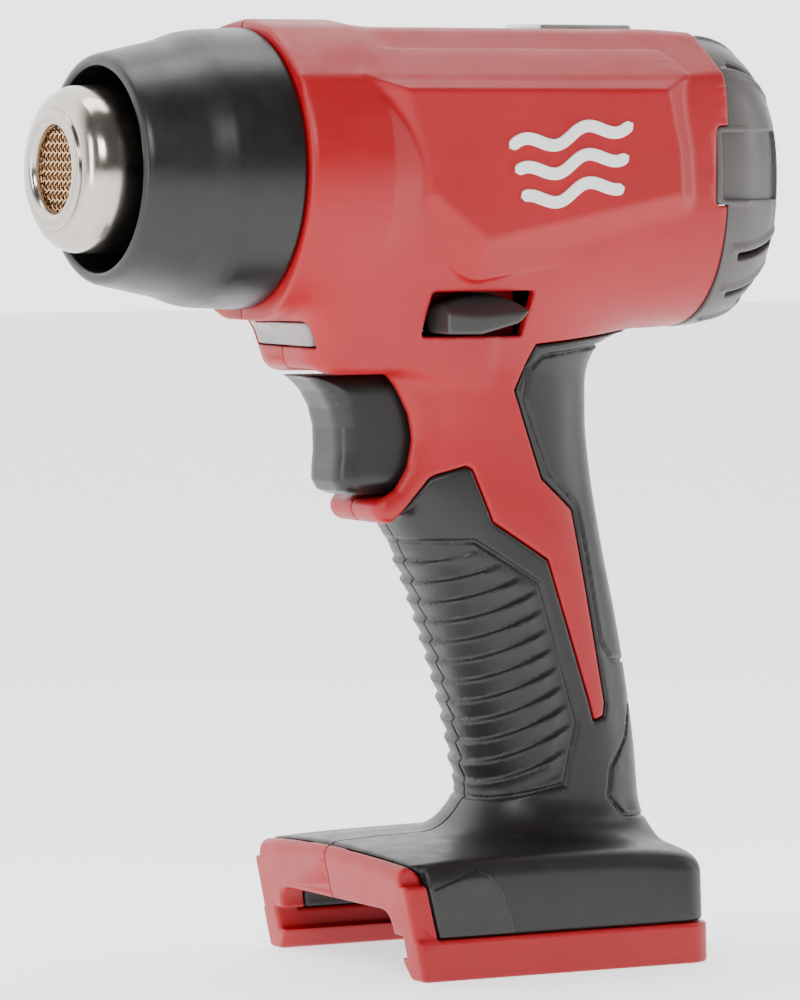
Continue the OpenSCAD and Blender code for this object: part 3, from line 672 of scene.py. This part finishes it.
def grip_relief(x, z):
    """Height of the ribs and pads above the plain grip."""
    field = outline(x, z, RIBBED)
    inside = np.clip(-field / 1.2, 0, 1)
    turn = ((z - 0.26 * x - 0.004 * (x - 5) ** 2) / RIB_PITCH) % 1.0
    rib = np.where(turn < 0.88, turn / 0.88, (1 - turn) / 0.12)
    reach = np.clip((-field - 1.2) / 4.5, 0, 1)
    lift = inside * (-0.25 + RIB_HEIGHT * (rib - 0.2) * reach)
    lift = lift - groove(field, 0.8, 0.7)
    lift = lift - groove(path_distance(x, z, BACK_PAD), 0.7, 0.7)
    lift = lift - groove(path_distance(x, z, BACK_PAD_TOP), 0.7, 0.6)
    return lift - groove(path_distance(x, z, HEEL_PAD), 0.65, 0.6)


# ------------------------------------------------------------------ emblem
WAVE_X, WAVE_Z = 28, 190.5
WAVE_TILT = math.radians(10)
WAVE_HALF = 1.45
WAVE_RISE = 0.75


# ------------------------------------------------------------------ body pieces
LEVER_WINDOW = ((-5.2, 13, 149.7), (21.8, 60, 160.5))    # opening for a lever in each side
BAFFLE = ((-7, 11.6, 148), (23.5, 13, 162.5))            # keeps light out behind the window
BAR_WAY = ((-1.6, 0, 149.6), (13.6, 20, 157.6))          # lets the levers' cross bar through
LENS_ROOM = ((-60, -14.2, 147.3), (-20, 14.2, 153.6))
PLATE_ROOM = ((32.6, -8.4, 221.2), (59.4, 8.4, 230))


def screw_distance(x, z):
    """Distance to the axis of the nearest housing screw."""
    each = [np.sqrt((x - a) ** 2 + (z - b) ** 2) for a, b in SCREWS]
    return np.min(np.stack(np.broadcast_arrays(*each)), 0)


def outer(x, y, z):
    """The body with its fine detail."""
    f = whole(x, y, z)
    f = smax(f, -block(x, np.abs(y), z, *LEVER_WINDOW, 1.2), 0.7)
    return smax(f, -block(x, y, z, *PLATE_ROOM, 1.0), 0.4)


def red_shape(side):
    """One half of the hard shell. side is -1 for the left half."""

    def shape(x, y, z):
        plain = whole(x, y, z)
        f = outer(x, y, z)
        recess = smax(grip_region(x, z) - 0.12, -plain - SKIN - 0.1, 0.3)
        f = smax(f, -recess, 0.7)
        f = smax(f, -plain - np.where(z < 138, WALL + 1, WALL), 0.5)
        baffle = block(x, np.abs(y), z, *BAFFLE, 0.3)
        way = block(x, np.abs(y), z, *BAR_WAY, 0.5)
        f = smin(f, smax(baffle, -way, 0.3), 0.3)
        f = smax(f, -block(x, y, z, *LENS_ROOM, 0.6), 0.4)
        f = smax(f, 0.15 - cap_tab(x, np.abs(y), z), 0.4)
        mouth = np.sqrt(y * y + (z - AXIS_Z) ** 2)
        front = np.maximum(np.maximum(FRONT_X - x, x - FRONT_X - 3), mouth - 31)
        f = smin(f, smax(front, 17.5 - mouth, 0.4), 0.5)
        if side > 0:
            hole = screw_distance(x, z)
            boss = smax(smax(hole - 4.6, 6 - y, 0.5), plain, 0.4)
            f = smax(smin(f, boss, 0.6), 3.2 - hole, 0.5)
        return smax(f, SEAM - side * y, 0.35)

    return shape


def grip_shape(side):
    """The soft skin of one half: ribs, pads and the edge against the shell."""

    def shape(x, y, z):
        plain = whole(x, y, z)
        f = plain - grip_relief(x, z)
        f = smax(f, grip_region(x, z) + 0.12, 1.1)
        f = smax(f, -plain - SKIN, 0.4)
        if side > 0:
            f = smax(f, 3.3 - screw_distance(x, z), 0.5)
        return smax(f, SEAM - side * y, 0.35)

    return shape


def make_body():
    for side, name in ((-1, "left"), (1, "right")):
        reach = ((-HALF_FOOT, 0) if side < 0 else (0, HALF_FOOT))
        shell = solid("shell_" + name, red_shape(side), (-44, reach[0], 0), (CAP_X + 0.5, reach[1], 225),
                      keep=0.36)
        dress(shell, "gun", "red_plastic", "red_plastic", "housing_" + name)
        skin = solid("soft_grip_" + name, grip_shape(side), (-21, reach[0], 8), (70, reach[1], 152),
                     keep=0.5)
        dress(skin, "gun", "grip_rubber", "grip_rubber", "grip_" + name)
        dress(make_mark("mark_" + name, side), "gun", "white_emblem", "white_emblem", "emblem_" + name)
        patch = solid("foot_patch_" + name, patch_shape(side), (-17, min(side * 34, side * 39), 8),
                      (14, max(side * 34, side * 39), 30), step=VOXEL * 0.7, keep=0.6)
        dress(patch, "gun", "grip_rubber", "smooth_rubber")


def make_mark(name, side):
    """Three raised waves of air on the side panel, rising a little towards the rear."""
    points, faces = [], []
    steps = 48
    for row in range(3):
        half = 17 - 1.5 * row
        base = len(points)
        for i in range(steps + 1):
            u = -half + 2 * half * i / steps
            bend = 1.5 * math.sin(u * 2 * math.pi / 17)
            slope = math.atan(1.5 * 2 * math.pi / 17 * math.cos(u * 2 * math.pi / 17))
            taper = math.sqrt(max(0, 1 - max(0, (abs(u) - half + 1.6) / 1.6) ** 2)) * 0.97 + 0.03
            for level, grow in ((0, 0), (WAVE_RISE - 0.2, 0), (WAVE_RISE, -0.2)):
                for edge in (-1, 1):
                    w = edge * (WAVE_HALF * taper + grow * taper)
                    a, b = u - w * math.sin(slope) - 0.9 * row, bend + w * math.cos(slope) + 6.6 * (1 - row)
                    points.append((WAVE_X + a * math.cos(WAVE_TILT) - b * math.sin(WAVE_TILT),
                                   side * (PANEL_Y - 0.25 + level),
                                   WAVE_Z + a * math.sin(WAVE_TILT) + b * math.cos(WAVE_TILT)))
        ring = [0, 2, 4, 5, 3, 1]
        for i in range(steps):
            here, there = base + 6 * i, base + 6 * (i + 1)
            for k in range(6):
                a, b = ring[k], ring[(k + 1) % 6]
                faces.append((here + a, here + b, there + b, there + a))
        faces.append(tuple(base + k for k in ring))
        faces.append(tuple(base + 6 * steps + k for k in ring[::-1]))
    obj = mesh_object(name, points, faces)
    face_outward(obj)
    return obj


PATCH = [(-13.6, 24), (-11.2, 22.2), (0.4, 26), (3.6, 24.6), (7.2, 20.4), (9.6, 14.6),
         (10.6, 9.9), (-10.2, 9.9)]


def patch_shape(side):
    """The smooth pad at the front of each side of the foot."""

    def shape(x, y, z):
        level = foot(x, y, z)
        f = smax(smax(outline(x, z, PATCH) + 0.3, level - 0.28, 0.5), -level - 0.8, 0.3)
        return smax(f, 3.3 - screw_distance(x, z), 0.3) if side > 0 else f

    return shape


# ------------------------------------------------------------------ rear cap
CAP_HALF = curve([(72, 30), (76, 29.9), (80, 29.2), (85, 27.3), (89, 24.8), (91.6, 22.2), (93, 19)])
CAP_TOP = curve([(72, 35.6), (76, 35.4), (80, 34.7), (85, 32.6), (89, 29), (91.6, 25), (93, 21)])
CAP_SLOT_ANGLES = [13, 37, 124, 142, 162]


def cap_tab(x, side, z):
    """The frame of the cap's side window reaches forward into the shell."""
    return block(x, side, z, (CAP_X - 3.4, 20, 180.4), (80, 60, 199.2), 1.6)


def cap_shape(x, y, z):
    side, high = np.abs(y), z - MID_Z
    half, top = CAP_HALF(x), CAP_TOP(x)
    plain = smax(oval(side, high, half, top, 2.4), x - REAR_X, 2.0)
    angle = np.degrees(np.arctan2(side, high))
    radius = np.sqrt(side * side + high * high)
    f = plain
    petal = np.zeros_like(angle)
    for a in CAP_SLOT_ANGLES:
        away = radius * np.radians(angle - a)
        slot = smax(smax(np.abs(away) - 1.15, 77.6 - x, 0.8), x - 90.2, 0.8)
        slot = smax(slot, -plain - 5, 0.5)
        lean = 1 if a < 90 else -1
        petal = petal + groove(away - lean * 2.3, 1.5, 0.75) * (x > 75.4) * (x < 91.5)
        f = smax(f, -slot, 0.5)
    f = f - petal * 0.9
    for row in range(-3, 4):
        bar = smax(np.abs(high - 5.4 * row) - 1.3, radius - 18.6, 0.6)
        bar = smax(bar, 88 - x, 0.5)
        f = smax(f, -bar, 0.5)
    tab = cap_tab(x, side, z)
    f = smin(f, smax(smax(tab, plain - 0.3, 0.4), -plain - 2.2, 0.4), 0.3)
    f = smax(f, np.minimum(CAP_X + 0.05 - x, tab), 0.5)
    window = smax(smax(np.abs(z - 189.8) - 8.2, CAP_X - 1.9 - x, 1.2), x - 90.4, 1.2)
    f = smax(f, -smax(window, -plain - 1.2, 0.2), 0.4)
    hollow = smax(plain + 2.2, x - REAR_X + 2.6, 1)
    f = smax(f, -hollow, 0.5)
    seat = np.sqrt((side - 14) ** 2 + (z - 159.5) ** 2)
    f = smin(f, smax(smax(seat - 4.4, plain, 0.4), x - 86, 0.4), 0.4)
    return smax(f, 3.1 - seat, 0.3)


# ------------------------------------------------------------------ turned pieces
def arc(cx, cy, r, start, end, n):
    return [(cx + r * math.cos(math.radians(start + (end - start) * i / n)),
             cy + r * math.sin(math.radians(start + (end - start) * i / n))) for i in range(n + 1)]


def rounded(points, r, n=4):
    """A closed outline with each corner replaced by a short curve that starts r from the corner."""
    out = []
    for i, p in enumerate(points):
        p = Vector(p)
        a = Vector(points[i - 1]) - p
        b = Vector(points[(i + 1) % len(points)]) - p
        cut = min(r, a.length * 0.45, b.length * 0.45)
        start, end = p + a.normalized() * cut, p + b.normalized() * cut
        for j in range(n + 1):
            t = j / n
            out.append(tuple(start * (1 - t) ** 2 + p * 2 * t * (1 - t) + end * t * t))
    return out


def turned(name, profile, segments):
    """A closed profile of (radius, x) points turned about the air axis."""
    points, faces = [], []
    n = len(profile)
    for s in range(segments):
        a = 2 * math.pi * s / segments
        points += [(x, r * math.cos(a), AXIS_Z + r * math.sin(a)) for r, x in profile]
    for s in range(segments):
        t = (s + 1) % segments
        for i in range(n):
            j = (i + 1) % n
            faces.append((s * n + i, s * n + j, t * n + j, t * n + i))
    obj = mesh_object(name, points, faces)
    face_outward(obj)
    obj.data.shade_smooth()
    return obj


def make_cover():
    profile = [(COVER_R - 0.5, FRONT_X - 0.15), (COVER_R, FRONT_X - 0.7), (COVER_R, FRONT_X - 1.6),
               (COVER_R - 0.5, FRONT_X - 13.5), (COVER_R - 1.1, FRONT_X - 17), (30.3, FRONT_X - 21.2),
               (29.75, FRONT_X - 23), (26.9, FRONT_X - 36.8), (26.1, FRONT_X - 38.1), (24.5, FRONT_X - 38.4),
               (23.8, FRONT_X - 37.8), (24.2, FRONT_X - 34), (25.6, FRONT_X - 22), (28.6, FRONT_X - 14),
               (29.4, FRONT_X - 0.15)]
    cover = turned("cover", rounded(profile, 0.9, 3), 200)
    dress(cover, "gun", "black_plastic", "black_plastic", "nozzle_cover")


def make_nozzle():
    tip = NOSE_X
    shoulder = 6.2
    outer_side = [(NOZZLE_R, FRONT_X - 2.8), (NOZZLE_R, FRONT_X - 20), (NOZZLE_R, tip + 9)]
    outer_side += [(r, -x) for r, x in arc(NOZZLE_R - shoulder, -tip - shoulder - 0.9, shoulder, 0, 84, 12)]
    ring = [(14.4, tip + 0.75), (13.9, tip + 0.35)]
    ring += [(r, -x) for r, x in arc(MOUTH_R + 2, -tip - 2, 2, 90, 180, 8)]
    inner = [(MOUTH_R, tip + 2.6), (MOUTH_R + 0.8, tip + 2.6)]
    inner += [(r, -x) for r, x in arc(MOUTH_R + 2.3, -tip - 2.3, 1.3, 180, 90, 5)]
    inner += [(r, -x) for r, x in arc(NOZZLE_R - shoulder, -tip - shoulder - 0.9, shoulder - 0.8, 84, 0, 8)]
    inner += [(NOZZLE_R - 0.8, FRONT_X - 2.0), (26, FRONT_X - 2.0),      # the flange
              (26, FRONT_X - 2.8), (NOZZLE_R + 0.6, FRONT_X - 2.8)]
    nozzle = turned("nozzle_tube", outer_side + ring + inner, 200)
    dress(nozzle, "gun", "nozzle_steel", "nozzle_steel", "nozzle")


def tube(points, radius, sides=8):
    """Points and faces of a closed tube along a path."""
    path = [Vector(p) for p in points]
    verts, faces = [], []
    normal = None
    for i, p in enumerate(path):
        along = (path[min(i + 1, len(path) - 1)] - path[max(i - 1, 0)]).normalized()
        guess = normal or along.orthogonal()
        normal = (guess - along * guess.dot(along)).normalized()
        other = along.cross(normal)
        for s in range(sides):
            a = 2 * math.pi * s / sides
            verts.append(tuple(p + radius * (math.cos(a) * normal + math.sin(a) * other)))
    for i in range(len(path) - 1):
        for s in range(sides):
            t = (s + 1) % sides
            faces.append((i * sides + s, i * sides + t, (i + 1) * sides + t, (i + 1) * sides + s))
    faces.append(tuple(range(sides))[::-1])
    faces.append(tuple((len(path) - 1) * sides + s for s in range(sides)))
    return verts, faces


def make_tubes(name, paths, radius, sides=8):
    points, faces = [], []
    for path in paths:
        verts, quads = tube(path, radius, sides)
        faces += [tuple(len(points) + i for i in q) for q in quads]
        points += verts
    obj = mesh_object(name, points, faces)
    obj.data.shade_smooth()
    return obj


def make_wire_mesh():
    """Woven wires across the mouth of the nozzle, set at 45 degrees, in a rolled rim."""
    pitch, wire, reach = 1.55, 0.26, 11.3
    centre_x = NOSE_X + 3.3
    paths = []
    for family in (0, 1):
        tilt = math.radians(45 + 90 * family)
        across = Vector((0, math.cos(tilt), math.sin(tilt)))
        along = Vector((0, -math.sin(tilt), math.cos(tilt)))
        for i in range(-7, 8):
            offset = i * pitch
            half = math.sqrt(max(reach ** 2 - offset ** 2, 1))
            steps = max(8, int(2 * half / 0.39))
            path = []
            for s in range(steps + 1):
                t = -half + 2 * half * s / steps
                lift = wire * 1.05 * math.cos(math.pi * t / pitch + math.pi * (i + family))
                path.append(Vector((centre_x + lift, 0, AXIS_Z)) + across * offset + along * t)
            paths.append(path)
    rim = [(centre_x, reach * math.cos(2 * math.pi * s / 72), AXIS_Z + reach * math.sin(2 * math.pi * s / 72))
           for s in range(73)]
    mesh = make_tubes("wire_mesh", paths, wire, 6)
    dress(mesh, "gun", "bronze_wire", "bronze_wire", "nozzle_mesh")
    dress(make_tubes("wire_rim", [rim], 0.75, 8), "gun", "bronze_wire", "bronze_wire")


def helix(start, length, r, centre_z, turns, per_turn):
    """A path that winds round a line along X."""
    return [(start + length * i / (turns * per_turn), r * math.cos(2 * math.pi * i / per_turn),
             centre_z + r * math.sin(2 * math.pi * i / per_turn)) for i in range(turns * per_turn + 1)]


def make_coil():
    """The wound heater wire on its mica cross."""
    path = helix(-80, 32, 11.5, AXIS_Z, 9, 40)
    dress(make_tubes("heater_winding", [path], 0.7, 8), "gun", "heater_wire", "heater_wire", "heater_coil")


def make_spring():
    """The trigger's spring, wound along the length of its CAD part."""
    low, high = (1000 * c.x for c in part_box("trigger_spring"))
    wire = 0.55
    path = helix(low + wire, high - low - 2 * wire, 3.8, PULL_Z, 5, 24)
    spring = make_tubes("return_spring", [path], wire, 8)
    dress(spring, "gun", "screw_steel", "screw_steel", "trigger_spring")
    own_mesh(spring)


# ------------------------------------------------------------------ controls
TRIGGER = [(-30.6, 141), (-27.4, 139.4), (-24.4, 136.6), (-22, 132.6), (-20.8, 128),
           (-20.6, 122.5), (-21, 118), (-21, 115.4), (-19.6, 113), (-17, 112), (6, 112), (6, 141)]


def trigger_shape(x, y, z):
    """A hooked finger trigger with a broad rounded face."""
    side = np.abs(y)
    face = outline(x, z, TRIGGER)
    f = smax(face, side - 9.35, 5.5)
    f = smax(smax(f, z - 140.6, 0.8), x - 4, 0.6)
    f = smax(f, side - 9.3, 0.4)
    well = block(x, y, z, (-6, -6, 118), (20, 6, 134), 0.8)
    f = smax(f, -well, 0.5)
    stem = np.sqrt(y * y + (z - PULL_Z) ** 2) - 2.2
    return smin(f, smax(smax(stem, x - 18, 0.4), -7 - x, 0.4), 0.5)


def lock_shape(x, y, z):
    """The lock shuttle: two wedge paddles on a cross bar that swings on a pin."""
    side = np.abs(y)
    top = 159.9 - 0.018 * (x - 11) ** 2 - 0.25 * np.maximum(x - 12, 0)
    slope = (z - 157.2) * 0.8 + (side - 24.5) * 0.55 + 0.06 * (6 - x)
    under = 150.5 + 0.24 * np.maximum(x - 6, 0) - z
    paddle = smax(smax(z - top, under, 0.6), smax(-2 - x, x - 19.2 + 0.9 * np.abs(z - 156), 1.2), 1.0)
    paddle = smax(paddle, side - 28.2 + 0.22 * np.maximum(6 - x, 0), 0.7)
    paddle = smax(smax(paddle, slope, 0.5), 15.9 - side, 0.5)
    bar = block(x, y, z, (0.5, -17, 150.8), (11.5, 17, 156.4), 1.0)
    arm = block(x, y, z, (-16, -3.4, 147.2), (4, 3.4, 152.9), 0.8)
    hub = np.sqrt((x + 16) ** 2 + y * y)
    post = smax(smax(hub - 4, z - 153.2, 0.5), 144.8 - z, 0.5)
    f = smin(smin(smin(paddle, bar, 1.0), arm, 0.8), post, 0.8)
    return smax(f, 1.85 - hub, 0.3)


def lens_shape(x, y, z):
    body = whole(x, y, z) + 0.18
    slanted = np.abs(y) - 13.4 - 0.16 * (z - 150)
    f = smax(smax(body, np.abs(z - 150.45) - 2.85, 0.7), slanted, 0.9)
    return smax(smax(f, -body - 1.6, 0.4), x + 20, 0.4)


def plate_shape(x, y, z):
    low, high = (1000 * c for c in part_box("top_plate"))
    return block(x, y, z, low, high - Vector((0, 0, 0.05)), 0.8)


def make_controls():
    step = VOXEL * 0.72
    trigger = solid("finger_trigger", trigger_shape, (-32, -9.5, 111), (18.5, 9.5, 142), step, 0.5)
    dress(trigger, "trigger", "black_plastic", "black_plastic", "trigger")
    lock = solid("lock_levers", lock_shape, (-21, -29, 144), (20.5, 29, 161), step, 0.6)
    dress(lock, "lock", "dark_grey_plastic", "dark_grey_plastic", "lock_shuttle")
    lens = solid("lamp_lens", lens_shape, (-40, -16, 146), (-22, 16, 155), step * 0.8, 0.7)
    dress(lens, "gun", "frosted_lens", "frosted_lens", "led_lens")
    plate = solid("blank_plate", plate_shape, (32, -9, 220.5), (60, 9, 224), step, 0.5)
    dress(plate, "gun", "label_plate", "label_plate", "top_plate")
    cap = solid("back_cap", cap_shape, (CAP_X - 4, -32, 149), (REAR_X + 0.5, 32, 223), step, 0.6)
    dress(cap, "gun", "grey_plastic", "grey_plastic", "rear_cap")


def finish_cad_nodes():
    """Gives each CAD node that still shows its material."""
    slots = {s["node"]: s["material_slot"] for s in frame["record"]["subparts"]}
    for name, obj in frame["nodes"].items():
        obj.data.materials.clear()
        obj.data.materials.append(MATERIALS[slots[name]])


make_camera()
make_studio()
MATERIALS = make_materials()
finish_cad_nodes()
make_cover()
make_nozzle()
make_wire_mesh()
make_coil()
make_spring()
make_controls()
make_body()
